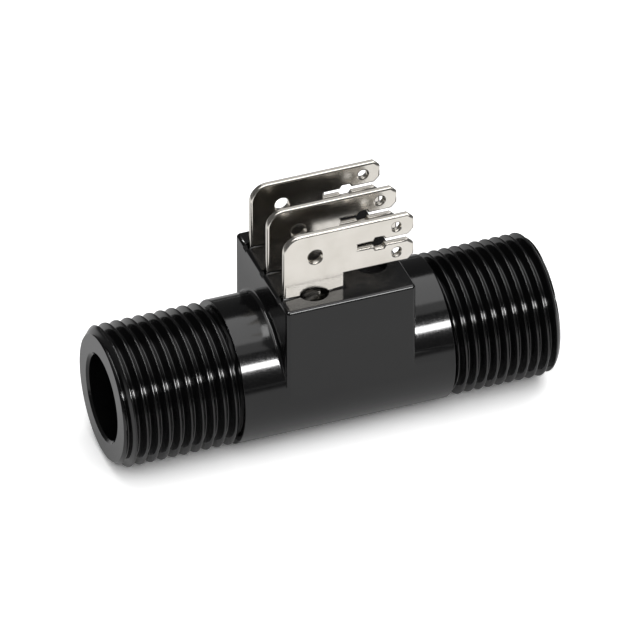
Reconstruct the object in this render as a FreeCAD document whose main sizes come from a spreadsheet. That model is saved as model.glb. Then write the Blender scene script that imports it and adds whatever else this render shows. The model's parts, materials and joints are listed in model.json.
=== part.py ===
import FreeCAD, Part
import os
import Sketcher
from FreeCAD import Placement, Rotation, Vector

# Turbine flow sensor with two threaded ends and three blade terminals.
# Every piece is drawn in the tube's frame: X runs with the flow from the tube's middle,
# Z rises from the flow axis. Placements lift the axis so that the barrel lies on Z = 0.

doc = FreeCAD.newDocument("TurbineFlowSensor")

SIZES = {
    # Tube, threads and bores
    "overall_length": 53.0,
    "barrel_diameter": 16.8,
    "thread_diameter": 16.662,
    "inlet_thread_length": 14.3,
    "outlet_thread_length": 13.2,
    "thread_chamfer": 0.9,
    "runout_width": 0.7,
    "runout_depth": 0.86,
    "bore_diameter": 10.1,
    "mouth_chamfer": 0.3,
    "measuring_diameter": 9.2,
    "measuring_length": 9.0,
    # Terminal box on the tube
    "box_offset": 0.62,
    "box_length": 15.65,
    "box_height": 12.58,
    "box_corner": 0.5,
    "box_edge_round": 0.4,
    "box_wall": 1.2,
    "floor_wall": 1.4,
    "ledge_width": 1.0,
    "ledge_height": 1.3,
    "cap_thickness": 3.2,
    "cap_spigot": 0.6,
    "drop_in_gap": 0.1,
    # Recesses in the cap
    "slot_gap": 0.1,
    "groove_depth": 0.5,
    "well_diameter": 3.5,
    "well_depth": 1.0,
    "pocket_diameter": 3.6,
    "pocket_depth": 1.5,
    "pocket_setback": 3.37,
    # Blade terminals
    "plate_thickness": 0.8,
    "terminal_pitch": 5.4,
    "terminal_setback": 0.63,
    "foot_width": 7.33,
    "foot_depth": 2.0,
    "foot_rise": 1.9,
    "tab_width": 6.3,
    "tab_reach": 8.34,
    "tab_chamfer": 0.7,
    "plate_corner": 2.1,
    "plate_hole": 1.8,
    "plate_hole_setback": 3.8,
    "split_width": 0.7,
    "split_length": 6.75,
    "keyhole_length": 1.82,
    "keyhole_height": 1.5,
    "keyhole_slant": 0.45,
    "keyhole_setback": 3.23,
    "prong_hole": 1.2,
    "prong_hole_setback": 2.1,
    "leg_width": 1.6,
    "leg_tail": 0.5,
    # Circuit board and its components
    "board_thickness": 0.8,
    "hall_length": 3.0,
    "hall_width": 4.0,
    "hall_thickness": 1.1,
    "hall_bevel": 0.3,
    "lead_width": 0.4,
    "lead_thickness": 0.25,
    "lead_pitch": 1.27,
    "lead_reach": 1.2,
    "lead_tail": 0.4,
    "chip_length": 2.0,
    "chip_width": 1.25,
    "chip_height": 0.5,
    "chip_edge": 0.08,
    "chip_setback": 2.4,
    # Spiders and bearings
    "spider_length": 4.0,
    "spider_hub": 3.8,
    "hub_reach": 0.9,
    "nose_length": 2.4,
    "nose_taper": 1.6,
    "vane_thickness": 0.7,
    "vane_count": 4,
    "bush_diameter": 2.0,
    "bush_length": 1.6,
    "journal_gap": 0.03,
    "jewel_thickness": 0.8,
    # Turbine rotor
    "rotor_hub": 4.0,
    "rotor_gap": 0.3,
    "blade_length": 6.0,
    "blade_gap": 0.3,
    "blade_thickness": 0.6,
    "blade_lead": 36.0,
    "blade_count": 4,
    "shaft_diameter": 1.0,
    "shaft_chamfer": 0.1,
    "end_play": 0.1,
    "magnet_diameter": 3.2,
    "magnet_length": 3.0,
    "seat_gap": 0.02,
}

sheet = doc.addObject("Spreadsheet::Sheet", "Spec")
for row, (alias, size) in enumerate(SIZES.items(), start=1):
    sheet.set("A%d" % row, alias)
    sheet.set("B%d" % row, str(size))
    sheet.setAlias("B%d" % row, alias)
doc.recompute()

# Places worked out from the driving sizes, as expressions on the sheet
half_length = "Spec.overall_length / 2"
widest_radius = "(max(Spec.barrel_diameter; Spec.thread_diameter) / 2)"
axis_height = widest_radius
box_start = "(Spec.box_offset - Spec.box_length / 2)"
box_end = "(Spec.box_offset + Spec.box_length / 2)"
seam_height = "(Spec.box_height - Spec.cap_thickness)"
floor_height = "(Spec.measuring_diameter / 2 + Spec.floor_wall)"
board_height = "(%s + Spec.ledge_height)" % floor_height
board_top = "(%s + Spec.board_thickness)" % board_height
spigot_height = "(%s - Spec.cap_spigot)" % seam_height
cavity_half_length = "(Spec.box_length / 2 - Spec.box_wall)"
cavity_half_width = "(%s - Spec.box_wall)" % widest_radius
foot_start = "(%s + Spec.terminal_setback)" % box_start
foot_end = "(%s + Spec.foot_width)" % foot_start
leg_middle = "(%s + Spec.foot_width / 2)" % foot_start
tab_end = "(%s + Spec.tab_reach)" % foot_end
tab_bottom = "(Spec.box_height + Spec.foot_rise)"
tab_middle = "(%s + Spec.tab_width / 2)" % tab_bottom
shoulder_in = "(Spec.box_offset - Spec.measuring_length / 2)"
shoulder_out = "(Spec.box_offset + Spec.measuring_length / 2)"
rotor_half = "(Spec.measuring_length / 2 - Spec.hub_reach - Spec.rotor_gap)"
lead_end = "(Spec.box_offset + Spec.hall_length / 2 + Spec.lead_reach)"
lead_level = "(%s + Spec.hall_thickness / 2)" % floor_height


def number(expression):
    return float(sheet.evalExpression(expression))


def bind(target, **expressions):
    for name, expression in expressions.items():
        target.setExpression(name.replace("__", "."), expression)


def place(piece, along="0 mm", across="0 mm", turn=None):
    # A place in the tube's frame; turn stands a piece drawn along Z on the flow axis
    if turn is not None:
        piece.Placement = Placement(Vector(), Rotation(Vector(0, 1, 0), turn))
    bind(piece, Placement__Base__x=along, Placement__Base__y=across, Placement__Base__z=axis_height)


def new_body(label):
    body = doc.addObject("PartDesign::Body", label)
    body.Label = label
    return body


def sketch_on(body, role, name, level=None):
    sketch = body.newObject("Sketcher::SketchObject", name)
    plane = next(item for item in body.Origin.OriginFeatures if item.Role == role)
    sketch.AttachmentSupport = [(plane, "")]
    sketch.MapMode = "FlatFace"
    if level is not None:
        sketch.setExpression("AttachmentOffset.Base.z", level)
    return sketch


def fix_point(sketch, curve, point, x, y):
    # The sketch axes hold the coordinates that are zero, the sheet holds the others
    for kind, axis, expression in (("DistanceX", -2, x), ("DistanceY", -1, y)):
        if expression == "0":
            sketch.addConstraint(Sketcher.Constraint("PointOnObject", curve, point, axis))
        else:
            size = number(expression)
            index = sketch.addConstraint(Sketcher.Constraint(kind, curve, point, size))
            sketch.setExpression("Constraints[%d]" % index, expression)


def outline(sketch, corners):
    spots = [Vector(number(x), number(y), 0) for x, y in corners]
    count = len(spots)
    lines = []
    for start, end in zip(spots, spots[1:] + spots[:1]):
        lines.append(sketch.addGeometry(Part.LineSegment(start, end)))
    for i, line in enumerate(lines):
        sketch.addConstraint(Sketcher.Constraint("Coincident", line, 2, lines[(i + 1) % count], 1))
    for line, (x, y) in zip(lines, corners):
        fix_point(sketch, line, 1, x, y)


def rectangle(sketch, left, right, low, high):
    outline(sketch, [(left, low), (right, low), (right, high), (left, high)])


def circle(sketch, x, y, diameter):
    size = number(diameter)
    spot = Vector(number(x), number(y), 0)
    curve = sketch.addGeometry(Part.Circle(spot, Vector(0, 0, 1), size / 2))
    fix_point(sketch, curve, 3, x, y)
    index = sketch.addConstraint(Sketcher.Constraint("Diameter", curve, size))
    sketch.setExpression("Constraints[%d]" % index, diameter)


def pad(body, sketch, length, reverse=False, both_ways=False):
    feature = body.newObject("PartDesign::Pad", sketch.Name + "_pad")
    feature.Profile = sketch
    feature.Reversed = reverse
    feature.Midplane = both_ways
    bind(feature, Length=length)
    doc.recompute()
    return feature


def pocket(body, sketch, depth, reverse=False, both_ways=False):
    before = body.Shape.Volume
    feature = body.newObject("PartDesign::Pocket", sketch.Name + "_pocket")
    feature.Profile = sketch
    feature.Reversed = reverse
    feature.Midplane = both_ways
    bind(feature, Length=depth)
    doc.recompute()
    if not body.Shape.Volume < before:
        raise RuntimeError("%s cuts nothing" % feature.Name)
    return feature


def round_edges(body, kind, size, wanted):
    # kind is Fillet or Chamfer, wanted picks the edges of the body's last feature
    base = body.Tip
    names = ["Edge%d" % i for i, edge in enumerate(base.Shape.Edges, start=1) if wanted(edge)]
    feature = body.newObject("PartDesign::" + kind, "%s_%s_%d" % (body.Name, kind, len(body.Group)))
    feature.Base = (base, names)
    bind(feature, **{"Radius" if kind == "Fillet" else "Size": size})
    doc.recompute()
    return feature


def around(body, feature, count):
    pattern = body.newObject("PartDesign::PolarPattern", feature.Name + "_around")
    pattern.Originals = [feature]
    axis = next(item for item in body.Origin.OriginFeatures if item.Role == "Z_Axis")
    pattern.Axis = (axis, [""])
    pattern.Angle = 360
    bind(pattern, Occurrences=count)
    body.Tip = pattern
    doc.recompute()
    return pattern


def upright(edge):
    ends = [vertex.Point for vertex in edge.Vertexes]
    return len(ends) == 2 and (ends[0] - ends[1]).cross(Vector(0, 0, 1)).Length < 1e-6


def at_height(edge, height):
    box = edge.BoundBox
    return abs(box.ZMin - height) < 1e-6 and abs(box.ZMax - height) < 1e-6


def box_plan(sketch):
    rectangle(sketch, box_start, box_end, "-" + widest_radius, widest_radius)


def make_body():
    body = new_body("body")
    plan = sketch_on(body, "XY_Plane", "box_plan")
    box_plan(plan)
    pad(body, plan, seam_height)
    round_edges(body, "Fillet", "Spec.box_corner", upright)

    barrel = sketch_on(body, "XZ_Plane", "barrel_profile")
    thread_radius = "Spec.thread_diameter / 2"
    barrel_radius = "Spec.barrel_diameter / 2"
    face_radius = "Spec.thread_diameter / 2 - Spec.thread_chamfer"
    runout_radius = "Spec.thread_diameter / 2 - Spec.runout_depth"
    inlet_thread_end = "Spec.inlet_thread_length - " + half_length
    outlet_thread_end = half_length + " - Spec.outlet_thread_length"
    outline(barrel, [
        ("-" + half_length, "0"),
        ("-" + half_length, face_radius),
        ("Spec.thread_chamfer - " + half_length, thread_radius),
        (inlet_thread_end + " - Spec.runout_width", thread_radius),
        (inlet_thread_end + " - Spec.runout_width", runout_radius),
        (inlet_thread_end, runout_radius),
        (inlet_thread_end, barrel_radius),
        (outlet_thread_end, barrel_radius),
        (outlet_thread_end, runout_radius),
        (outlet_thread_end + " + Spec.runout_width", runout_radius),
        (outlet_thread_end + " + Spec.runout_width", thread_radius),
        (half_length + " - Spec.thread_chamfer", thread_radius),
        (half_length, face_radius),
        (half_length, "0"),
    ])
    tube = body.newObject("PartDesign::Revolution", "barrel")
    tube.Profile = barrel
    tube.ReferenceAxis = (barrel, ["H_Axis"])
    tube.Angle = 360
    doc.recompute()

    bore = sketch_on(body, "XZ_Plane", "bore_profile")
    bore_radius = "Spec.bore_diameter / 2"
    mouth_radius = "Spec.bore_diameter / 2 + Spec.mouth_chamfer"
    measuring_radius = "Spec.measuring_diameter / 2"
    outline(bore, [
        ("-" + half_length, "0"),
        ("-" + half_length, mouth_radius),
        ("Spec.mouth_chamfer - " + half_length, bore_radius),
        (shoulder_in, bore_radius),
        (shoulder_in, measuring_radius),
        (shoulder_out, measuring_radius),
        (shoulder_out, bore_radius),
        (half_length + " - Spec.mouth_chamfer", bore_radius),
        (half_length, mouth_radius),
        (half_length, "0"),
    ])
    before = body.Shape.Volume
    passage = body.newObject("PartDesign::Groove", "flow_passage")
    passage.Profile = bore
    passage.ReferenceAxis = (bore, ["H_Axis"])
    passage.Angle = 360
    doc.recompute()
    if not body.Shape.Volume < before:
        raise RuntimeError("the flow passage cuts nothing")

    cavity = sketch_on(body, "XY_Plane", "board_cavity", seam_height)
    rectangle(cavity, "Spec.box_offset - " + cavity_half_length, "Spec.box_offset + " + cavity_half_length,
              "-" + cavity_half_width, cavity_half_width)
    pocket(body, cavity, "%s - %s" % (seam_height, board_height))
    well = sketch_on(body, "XY_Plane", "hall_cavity", board_height)
    ledge_half_length = "(%s - Spec.ledge_width)" % cavity_half_length
    ledge_half_width = "(%s - Spec.ledge_width)" % cavity_half_width
    rectangle(well, "Spec.box_offset - " + ledge_half_length, "Spec.box_offset + " + ledge_half_length,
              "-" + ledge_half_width, ledge_half_width)
    pocket(body, well, "Spec.ledge_height")
    place(body)
    return body


def make_cap(rows):
    cap = new_body("terminal_cap")
    plan = sketch_on(cap, "XY_Plane", "cap_plan", seam_height)
    box_plan(plan)
    pad(cap, plan, "Spec.cap_thickness")
    round_edges(cap, "Fillet", "Spec.box_corner", upright)
    top = number("Spec.box_height")
    round_edges(cap, "Fillet", "Spec.box_edge_round", lambda edge: at_height(edge, top))

    spigot = sketch_on(cap, "XY_Plane", "spigot_plan", seam_height)
    spigot_half_length = "(%s - Spec.drop_in_gap)" % cavity_half_length
    spigot_half_width = "(%s - Spec.drop_in_gap)" % cavity_half_width
    rectangle(spigot, "Spec.box_offset - " + spigot_half_length, "Spec.box_offset + " + spigot_half_length,
              "-" + spigot_half_width, spigot_half_width)
    pad(cap, spigot, "Spec.cap_spigot", reverse=True)

    half_slot = "(Spec.plate_thickness / 2 + Spec.slot_gap)"
    slots = sketch_on(cap, "XY_Plane", "foot_slots", "Spec.box_height")
    grooves = sketch_on(cap, "XY_Plane", "groove_plan", "Spec.box_height")
    legs = sketch_on(cap, "XY_Plane", "leg_slots", "Spec.box_height")
    wells = sketch_on(cap, "XY_Plane", "foot_wells", "Spec.box_height")
    half_leg = "(Spec.leg_width / 2 + Spec.slot_gap)"
    for row in rows:
        near = "%s - %s" % (row, half_slot)
        far = "%s + %s" % (row, half_slot)
        rectangle(slots, foot_start + " - Spec.slot_gap", foot_end + " + Spec.slot_gap", near, far)
        rectangle(grooves, box_start + " - Spec.terminal_setback", foot_start, near, far)
        rectangle(legs, "%s - %s" % (leg_middle, half_leg), "%s + %s" % (leg_middle, half_leg), near, far)
        circle(wells, leg_middle, row, "Spec.well_diameter")
    pocket(cap, slots, "Spec.foot_depth")
    pocket(cap, grooves, "Spec.groove_depth")
    pocket(cap, wells, "Spec.well_depth")
    pocket(cap, legs, "Spec.cap_thickness + Spec.cap_spigot")

    rounds = sketch_on(cap, "XY_Plane", "round_pockets", "Spec.box_height")
    pocket_middle = box_end + " - Spec.pocket_setback"
    for side in ("-", ""):
        circle(rounds, pocket_middle, side + "Spec.terminal_pitch / 2", "Spec.pocket_diameter")
    pocket(cap, rounds, "Spec.pocket_depth")
    place(cap)
    return cap


def make_terminal(label, row):
    plate = new_body(label)
    tab_top = "%s + Spec.tab_width" % tab_bottom
    foot_level = "Spec.box_height - Spec.foot_depth"
    leg_level = board_height + " - Spec.leg_tail"
    leg_left = leg_middle + " - Spec.leg_width / 2"
    leg_right = leg_middle + " + Spec.leg_width / 2"
    blank = sketch_on(plate, "XZ_Plane", label + "_blank")
    outline(blank, [
        (leg_left, leg_level),
        (leg_right, leg_level),
        (leg_right, foot_level),
        (foot_end, foot_level),
        (foot_end, tab_bottom),
        (tab_end, tab_bottom),
        (tab_end, tab_top),
        (foot_start, tab_top),
        (foot_start, foot_level),
        (leg_left, foot_level),
    ])
    pad(plate, blank, "Spec.plate_thickness", both_ways=True)
    left = number(foot_start)
    top = number(tab_top)
    round_edges(plate, "Fillet", "Spec.plate_corner",
                lambda edge: abs(edge.BoundBox.XMax - left) < 1e-6 and at_height(edge, top))

    cut_width = "2 * Spec.plate_thickness"
    split = sketch_on(plate, "XZ_Plane", label + "_split")
    rectangle(split, tab_end + " - Spec.split_length", tab_end + " + Spec.split_width",
              tab_middle + " - Spec.split_width / 2", tab_middle + " + Spec.split_width / 2")
    pocket(plate, split, cut_width, both_ways=True)

    keyhole = sketch_on(plate, "XZ_Plane", label + "_keyhole")
    key_right = tab_end + " - Spec.keyhole_setback"
    key_left = key_right + " - Spec.keyhole_length"
    key_low = tab_middle + " - Spec.keyhole_height / 2"
    key_high = tab_middle + " + Spec.keyhole_height / 2"
    outline(keyhole, [
        (key_left, tab_middle),
        (key_left + " + Spec.keyhole_slant", key_low),
        (key_right + " - Spec.keyhole_slant", key_low),
        (key_right, tab_middle),
        (key_right + " - Spec.keyhole_slant", key_high),
        (key_left + " + Spec.keyhole_slant", key_high),
    ])
    pocket(plate, keyhole, cut_width, both_ways=True)

    holes = sketch_on(plate, "XZ_Plane", label + "_holes")
    circle(holes, foot_start + " + Spec.plate_hole_setback", tab_middle, "Spec.plate_hole")
    prong_rise = "(Spec.tab_width + Spec.split_width) / 4"
    prong_middle = tab_end + " - Spec.prong_hole_setback"
    for side in (" - ", " + "):
        circle(holes, prong_middle, tab_middle + side + prong_rise, "Spec.prong_hole")
    pocket(plate, holes, cut_width, both_ways=True)

    right = number(tab_end)
    thickness = number("Spec.plate_thickness")
    round_edges(plate, "Chamfer", "Spec.tab_chamfer",
                lambda edge: abs(edge.BoundBox.XMin - right) < 1e-6 and edge.BoundBox.ZLength < 1e-6
                and abs(edge.BoundBox.YLength - thickness) < 1e-6)
    place(plate, across=row)
    return plate


def make_board(rows):
    board = new_body("sensor_board")
    plan = sketch_on(board, "XY_Plane", "board_plan", board_height)
    half_board_length = "(%s - Spec.drop_in_gap)" % cavity_half_length
    half_board_width = "(%s - Spec.drop_in_gap)" % cavity_half_width
    rectangle(plan, "Spec.box_offset - " + half_board_length, "Spec.box_offset + " + half_board_length,
              "-" + half_board_width, half_board_width)
    half_leg = "(Spec.leg_width / 2 + Spec.slot_gap)"
    half_slot = "(Spec.plate_thickness / 2 + Spec.slot_gap)"
    for row in rows:
        rectangle(plan, "%s - %s" % (leg_middle, half_leg), "%s + %s" % (leg_middle, half_leg),
                  "%s - %s" % (row, half_slot), "%s + %s" % (row, half_slot))
    half_lead = "(Spec.lead_width / 2 + Spec.slot_gap)"
    for row in lead_rows:
        rectangle(plan, lead_end + " - Spec.lead_thickness - Spec.slot_gap", lead_end + " + Spec.slot_gap",
                  "%s - %s" % (row, half_lead), "%s + %s" % (row, half_lead))
    pad(board, plan, "Spec.board_thickness")
    place(board)
    return board


def make_hall_sensor():
    hall = new_body("hall_sensor")
    plan = sketch_on(hall, "XY_Plane", "hall_plan", floor_height)
    rectangle(plan, "Spec.box_offset - Spec.hall_length / 2", "Spec.box_offset + Spec.hall_length / 2",
              "-Spec.hall_width / 2", "Spec.hall_width / 2")
    pad(hall, plan, "Spec.hall_thickness")
    top = number(floor_height + " + Spec.hall_thickness")
    round_edges(hall, "Chamfer", "Spec.hall_bevel",
                lambda edge: at_height(edge, top) and edge.BoundBox.YLength < 1e-6)
    place(hall)
    return hall


def make_hall_leads():
    leads = []
    for index, row in enumerate(lead_rows, start=1):
        lead = new_body("hall_lead_%d" % index)
        shape = sketch_on(lead, "XZ_Plane", "lead_shape_%d" % index)
        outer_low = lead_level + " - Spec.lead_thickness / 2"
        inner_low = lead_level + " + Spec.lead_thickness / 2"
        start = "Spec.box_offset + Spec.hall_length / 2"
        tip = board_top + " + Spec.lead_tail"
        outline(shape, [
            (start, outer_low),
            (lead_end, outer_low),
            (lead_end, tip),
            (lead_end + " - Spec.lead_thickness", tip),
            (lead_end + " - Spec.lead_thickness", inner_low),
            (start, inner_low),
        ])
        pad(lead, shape, "Spec.lead_width", both_ways=True)
        place(lead, across=row)
        leads.append(lead)
    group = doc.addObject("Part::Compound", "hall_leads")
    group.Label = "hall_leads"
    group.Links = leads
    doc.recompute()
    return group


def make_chip(label, row):
    chip = new_body(label)
    plan = sketch_on(chip, "XY_Plane", label + "_plan", board_top)
    middle = box_end + " - Spec.box_wall - Spec.chip_setback"
    rectangle(plan, middle + " - Spec.chip_length / 2", middle + " + Spec.chip_length / 2",
              "-Spec.chip_width / 2", "Spec.chip_width / 2")
    pad(chip, plan, "Spec.chip_height")
    top = number(board_top + " + Spec.chip_height")
    round_edges(chip, "Chamfer", "Spec.chip_edge", lambda edge: at_height(edge, top))
    place(chip, across=row)
    return chip


def make_potting(buried):
    # Resin takes the cavity's shape and leaves out everything that stands in it
    resin = new_body("resin_fill")
    upper = sketch_on(resin, "XY_Plane", "resin_upper", board_height)
    rectangle(upper, "Spec.box_offset - " + cavity_half_length, "Spec.box_offset + " + cavity_half_length,
              "-" + cavity_half_width, cavity_half_width)
    pad(resin, upper, "%s - %s" % (spigot_height, board_height))
    lower = sketch_on(resin, "XY_Plane", "resin_lower", board_height)
    ledge_half_length = "(%s - Spec.ledge_width)" % cavity_half_length
    ledge_half_width = "(%s - Spec.ledge_width)" % cavity_half_width
    rectangle(lower, "Spec.box_offset - " + ledge_half_length, "Spec.box_offset + " + ledge_half_length,
              "-" + ledge_half_width, ledge_half_width)
    pad(resin, lower, "Spec.ledge_height", reverse=True)
    place(resin)
    inside = doc.addObject("Part::MultiFuse", "buried_parts")
    inside.Shapes = buried
    potting = doc.addObject("Part::Cut", "potting_resin")
    potting.Label = "potting_resin"
    potting.Base = resin
    potting.Tool = inside
    doc.recompute()
    return potting


def make_spider(label, along, turn):
    # Drawn along Z: 0 is the bore's shoulder, the rotor lies below and the tube's mouth above.
    # The ring is a press fit in the bore and carries the hub on its vanes.
    spider = new_body(label)
    hub = sketch_on(spider, "XY_Plane", label + "_hub", "-Spec.hub_reach")
    circle(hub, "0", "0", "Spec.spider_hub")
    pad(spider, hub, "Spec.hub_reach + Spec.spider_length + Spec.nose_length")
    tip = number("Spec.spider_length + Spec.nose_length")
    round_edges(spider, "Chamfer", "Spec.nose_taper", lambda edge: at_height(edge, tip))

    vane = sketch_on(spider, "XY_Plane", label + "_vane")
    rectangle(vane, "0", "(Spec.bore_diameter + Spec.measuring_diameter) / 4",
              "-Spec.vane_thickness / 2", "Spec.vane_thickness / 2")
    around(spider, pad(spider, vane, "Spec.spider_length"), "Spec.vane_count")
    ring = sketch_on(spider, "XY_Plane", label + "_ring")
    circle(ring, "0", "0", "Spec.bore_diameter")
    circle(ring, "0", "0", "Spec.measuring_diameter")
    pad(spider, ring, "Spec.spider_length")

    seat = sketch_on(spider, "XY_Plane", label + "_seat", "-Spec.hub_reach")
    circle(seat, "0", "0", "Spec.bush_diameter")
    pocket(spider, seat, "Spec.bush_length + Spec.jewel_thickness", reverse=True)
    place(spider, along=along, turn=turn)
    return spider


def make_bush(label, along, turn):
    bush = new_body(label)
    section = sketch_on(bush, "XY_Plane", label + "_section", "-Spec.hub_reach")
    circle(section, "0", "0", "Spec.bush_diameter")
    circle(section, "0", "0", "Spec.shaft_diameter + 2 * Spec.journal_gap")
    pad(bush, section, "Spec.bush_length")
    place(bush, along=along, turn=turn)
    return bush


def make_jewel(label, along, turn):
    jewel = new_body(label)
    section = sketch_on(jewel, "XY_Plane", label + "_section", "Spec.bush_length - Spec.hub_reach")
    circle(section, "0", "0", "Spec.bush_diameter")
    pad(jewel, section, "Spec.jewel_thickness")
    place(jewel, along=along, turn=turn)
    return jewel


def make_rotor():
    # Drawn along Z with the flow; 0 is the middle of the measuring bore
    rotor = new_body("rotor")
    hub = sketch_on(rotor, "XY_Plane", "rotor_hub_section", "-" + rotor_half)
    circle(hub, "0", "0", "Spec.rotor_hub")
    pad(rotor, hub, "2 * " + rotor_half)

    section = sketch_on(rotor, "XY_Plane", "blade_section", "-Spec.blade_length / 2")
    root_radius = "(Spec.rotor_hub + Spec.magnet_diameter) / 4"
    tip_radius = "Spec.measuring_diameter / 2 - Spec.blade_gap"
    rectangle(section, root_radius, tip_radius, "-Spec.blade_thickness / 2", "Spec.blade_thickness / 2")
    blade = rotor.newObject("PartDesign::AdditiveHelix", "blade")
    blade.Profile = section
    blade.ReferenceAxis = (section, ["N_Axis"])
    blade.Mode = "pitch-height-angle"
    bind(blade, Pitch="Spec.blade_lead", Height="Spec.blade_length")
    doc.recompute()
    around(rotor, blade, "Spec.blade_count")

    bore = sketch_on(rotor, "XY_Plane", "shaft_hole", "-" + rotor_half)
    circle(bore, "0", "0", "Spec.shaft_diameter")
    pocket(rotor, bore, "2 * " + rotor_half, reverse=True)
    chamber = sketch_on(rotor, "XY_Plane", "magnet_chamber", "-Spec.magnet_length / 2")
    circle(chamber, "0", "0", "Spec.magnet_diameter + 2 * Spec.seat_gap")
    pocket(rotor, chamber, "Spec.magnet_length / 2 + " + rotor_half, reverse=True)
    place(rotor, along="Spec.box_offset", turn=90)
    return rotor


def make_rotor_ring(label, level, length):
    # Magnet and retainer are plain rings on the shaft, inside the hub's chamber
    ring = new_body(label)
    section = sketch_on(ring, "XY_Plane", label + "_section", level)
    circle(section, "0", "0", "Spec.magnet_diameter")
    circle(section, "0", "0", "Spec.shaft_diameter + 2 * Spec.seat_gap")
    pad(ring, section, length)
    place(ring, along="Spec.box_offset", turn=90)
    return ring


def make_shaft():
    shaft = new_body("rotor_shaft")
    half_shaft = "(Spec.measuring_length / 2 - Spec.hub_reach + Spec.bush_length - Spec.end_play)"
    section = sketch_on(shaft, "XY_Plane", "shaft_section", "-" + half_shaft)
    circle(section, "0", "0", "Spec.shaft_diameter")
    pad(shaft, section, "2 * " + half_shaft)
    round_edges(shaft, "Chamfer", "Spec.shaft_chamfer", lambda edge: edge.BoundBox.ZLength < 1e-6)
    place(shaft, along="Spec.box_offset", turn=90)
    return shaft


terminal_rows = {
    "terminal_supply": "-Spec.terminal_pitch",
    "terminal_signal": "0",
    "terminal_ground": "Spec.terminal_pitch",
}
lead_rows = ["-Spec.lead_pitch", "0", "Spec.lead_pitch"]

pieces = [make_body(), make_cap(terminal_rows.values())]
terminals = [make_terminal(label, row) for label, row in terminal_rows.items()]
electronics = [
    make_board(terminal_rows.values()),
    make_hall_sensor(),
    make_hall_leads(),
    make_chip("pull_up_resistor", "-Spec.terminal_pitch / 2"),
    make_chip("bypass_capacitor", "Spec.terminal_pitch / 2"),
]
pieces += terminals + electronics
pieces.append(make_potting(terminals + electronics))
for end, along, turn in (("inlet", shoulder_in, -90), ("outlet", shoulder_out, 90)):
    pieces.append(make_spider(end + "_spider", along, turn))
    pieces.append(make_bush(end + "_bearing", along, turn))
    pieces.append(make_jewel(end + "_thrust_jewel", along, turn))
pieces.append(make_rotor())
pieces.append(make_shaft())
pieces.append(make_rotor_ring("rotor_magnet", "-Spec.magnet_length / 2", "Spec.magnet_length"))
retainer_length = rotor_half + " - Spec.magnet_length / 2"
pieces.append(make_rotor_ring("magnet_retainer", "Spec.magnet_length / 2", retainer_length))

doc.recompute()
failed = [item.Name for item in doc.Objects if "Invalid" in item.State or "Error" in item.State]
if failed:
    raise RuntimeError("these features failed: " + ", ".join(failed))
for piece in pieces:
    if piece.Shape.isNull() or not piece.Shape.isValid():
        raise RuntimeError("%s has no valid shape" % piece.Label)

os.makedirs("parts", exist_ok=True)
for piece in pieces:
    piece.Shape.exportStep("parts/%s.step" % piece.Label)
    print(piece.Label, len(piece.Shape.Solids), round(piece.Shape.Volume, 3))
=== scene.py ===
import json
from math import asin, ceil, cos, hypot, pi, radians, sin, tan

import bmesh
import bpy
from mathutils import Matrix, Vector

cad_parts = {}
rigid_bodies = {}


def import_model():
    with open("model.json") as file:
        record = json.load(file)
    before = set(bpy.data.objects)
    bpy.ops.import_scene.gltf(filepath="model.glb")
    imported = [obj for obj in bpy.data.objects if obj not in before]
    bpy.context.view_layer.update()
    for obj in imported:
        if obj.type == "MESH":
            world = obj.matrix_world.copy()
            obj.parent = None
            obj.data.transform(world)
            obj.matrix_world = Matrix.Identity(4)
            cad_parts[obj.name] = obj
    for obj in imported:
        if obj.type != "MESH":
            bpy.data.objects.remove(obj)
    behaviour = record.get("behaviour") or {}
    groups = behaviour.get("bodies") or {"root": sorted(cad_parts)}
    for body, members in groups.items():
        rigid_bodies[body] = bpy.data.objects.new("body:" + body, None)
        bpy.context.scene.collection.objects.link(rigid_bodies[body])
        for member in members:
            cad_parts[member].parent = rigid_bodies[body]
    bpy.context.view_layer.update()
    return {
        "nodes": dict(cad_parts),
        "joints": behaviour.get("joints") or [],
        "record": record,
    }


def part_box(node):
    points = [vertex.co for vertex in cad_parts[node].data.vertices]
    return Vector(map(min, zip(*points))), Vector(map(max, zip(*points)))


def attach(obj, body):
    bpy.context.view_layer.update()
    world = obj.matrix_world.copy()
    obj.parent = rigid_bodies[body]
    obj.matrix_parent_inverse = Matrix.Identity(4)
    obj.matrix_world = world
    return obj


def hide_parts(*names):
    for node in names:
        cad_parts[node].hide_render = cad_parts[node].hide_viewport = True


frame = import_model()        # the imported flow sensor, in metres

mm = 0.001
tiny = 0.001 * mm        # points this near each other are one point
scene = bpy.context.scene
scene.view_settings.view_transform = "Standard"

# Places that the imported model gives
flowAxis = Vector(frame["joints"][0]["pos_m"])
axisHeight = flowAxis.z
mounts = {mount["name"]: mount for mount in frame["record"]["mounts"]}
threadRadius = mounts["inlet_thread"]["dims"]["r_mm"] * mm
bodyLow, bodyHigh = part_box("body")
capLow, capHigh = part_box("terminal_cap")
barrelRadius = (bodyHigh.y - bodyLow.y) / 2
seamHeight = bodyHigh.z

# Camera at the photograph's angle
cameraView = {
    "azimuth": radians(-20.51),
    "elevation": radians(36.13),
    "distance": 1615.9 * mm,
    "focalPixels": 14192,
    "imagePixels": 640,
    "sensorWidth": 36,               # in millimetres, as Blender takes it
    "clip": (0.1, 100),
    "shiftRight": -0.07 * mm,        # of the picture's middle from the flow axis
    "shiftUp": 3.374 * mm,
}


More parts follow.
